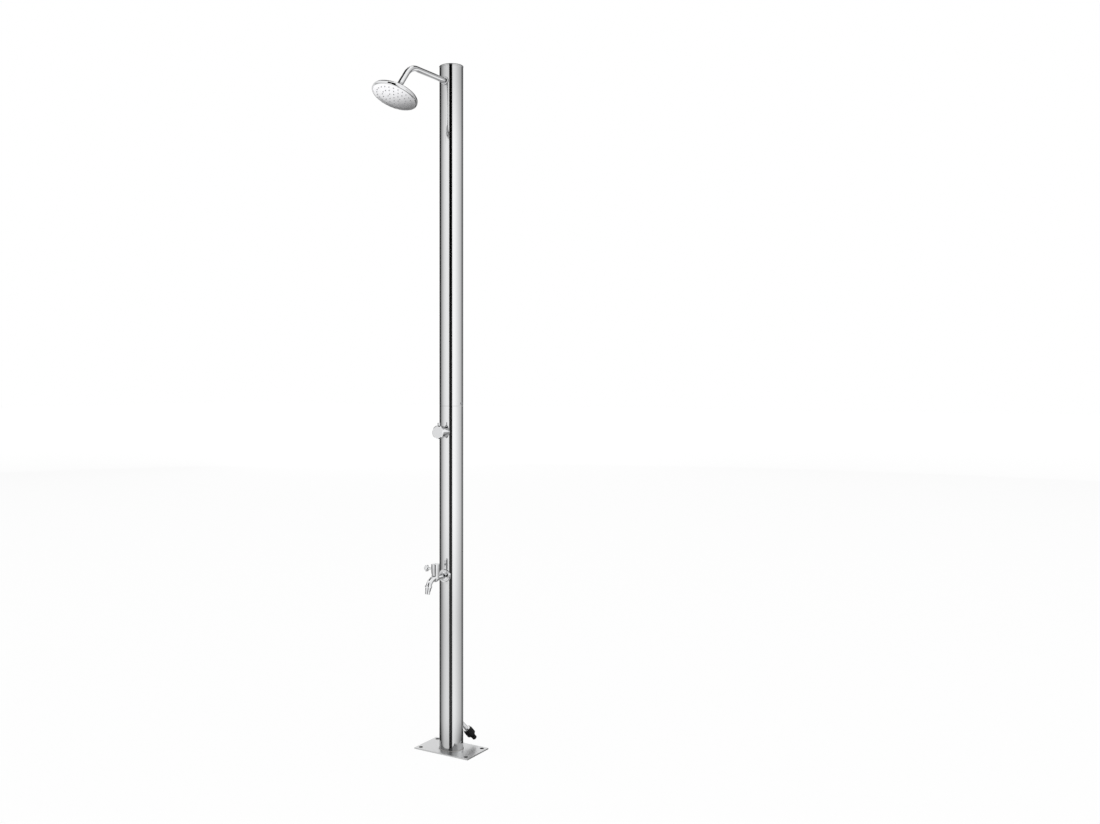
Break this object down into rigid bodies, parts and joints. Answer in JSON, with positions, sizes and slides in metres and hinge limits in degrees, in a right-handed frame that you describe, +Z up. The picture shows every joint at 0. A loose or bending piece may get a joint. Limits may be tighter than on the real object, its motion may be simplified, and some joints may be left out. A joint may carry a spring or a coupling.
{
  "type": "outdoor shower post",
  "caption": "Round stainless steel outdoor shower post on a foot plate, with a bent arm and swivelling round head, a quarter-turn shower valve, a bib tap with a spout and a hose connector.",
  "frame": {"origin": "centre of the foot plate's underside, on the post's axis", "axes": "+Z up along the post; the arm, the valve and the tap face -Y; the tap's lever points to -X at rest"},
  "size_m": [0.2, 0.4473, 2.175],
  "materials": {
    "polished_steel": "polished stainless steel with a fine lengthwise grain",
    "weld_steel": "rippled weld bead, dressed and pickled",
    "plain_steel": "plain stainless steel",
    "screw_steel": "turned stainless steel",
    "face_steel": "satin stainless steel",
    "chrome": "bright chrome plating",
    "brass": "machined brass",
    "black_rubber": "matt rubber",
    "black_plastic": "moulded black plastic, slightly glossy",
    "nylon": "matt nylon",
    "silicone": "grey silicone",
    "ceramic": "white ceramic and plastic cartridge",
    "index_plate": "satin cover disc",
    "hose": "braided plastic hose"
  },
  "bodies": {
    "post": {"base_plate": "polished_steel", "foot_weld": "weld_steel", "lower_tube": "polished_steel", "joining_sleeve": "plain_steel", "joint_nuts": "plain_steel", "joint_screws": "screw_steel", "upper_tube": "polished_steel", "top_cap": "polished_steel", "arm_socket": "brass", "arm_gasket": "black_rubber", "arm_ferrule": "chrome", "shower_arm": "chrome", "swivel_washer": "black_rubber", "swivel_ball": "chrome", "valve_body": "brass", "valve_saddle": "black_rubber", "valve_backnut": "brass", "valve_gasket": "black_rubber", "valve_sleeve": "chrome", "valve_cartridge": "ceramic", "tap_tee": "brass", "tap_gasket": "black_rubber", "tap_flange": "chrome", "tap_body": "chrome", "tap_bonnet": "brass", "spout_nozzle": "chrome", "spout_strainer": "nylon", "supply_hose": "hose", "riser_hose": "hose", "arm_hose": "hose", "hose_clamps": "plain_steel", "inlet_stub": "polished_steel", "inlet_weld": "weld_steel", "connector_washer": "black_rubber", "hose_connector": "black_plastic", "connector_o_ring": "black_rubber"},
    "swivel_seat": {"ball_seat": "nylon"},
    "head_collar": {"swivel_collar": "chrome"},
    "shower_head": {"head_back_shell": "chrome", "inlet_filter": "nylon", "nozzle_mat": "silicone", "head_face_plate": "face_steel"},
    "valve_handle": {"valve_spindle": "brass", "valve_knob": "chrome", "valve_lever_pin": "chrome", "knob_grub_screw": "screw_steel"},
    "tap_turn_handle": {"tap_spindle": "brass", "tap_handle": "chrome", "tap_lever": "chrome", "tap_handle_screw": "screw_steel", "tap_index_cap": "index_plate"}
  },
  "joints": [
    {"name": "valve_turn", "type": "hinge", "parent": "post", "child": "valve_handle", "pos_m": [0, -0.0715, 1.012], "axis": [0, -1, 0], "range_deg": [0, 90]},
    {"name": "tap_turn", "type": "hinge", "parent": "post", "child": "tap_turn_handle", "pos_m": [0, -0.0905, 0.558], "axis": [0, 0, 1], "range_deg": [0, 90]},
    {"name": "head_tilt", "type": "hinge", "parent": "post", "child": "swivel_seat", "pos_m": [0, -0.29095, 2.04025], "axis": [1, 0, 0], "range_deg": [-35, 2]},
    {"name": "head_sway", "type": "hinge", "parent": "swivel_seat", "child": "head_collar", "pos_m": [0, -0.29095, 2.04025], "axis": [0, -0.9258, 0.3781], "range_deg": [-4, 21]},
    {"name": "head_spin", "type": "hinge", "parent": "head_collar", "child": "shower_head", "pos_m": [0, -0.29095, 2.04025], "axis": [0.1473, 0.374, 0.9157], "continuous": true}
  ]
}
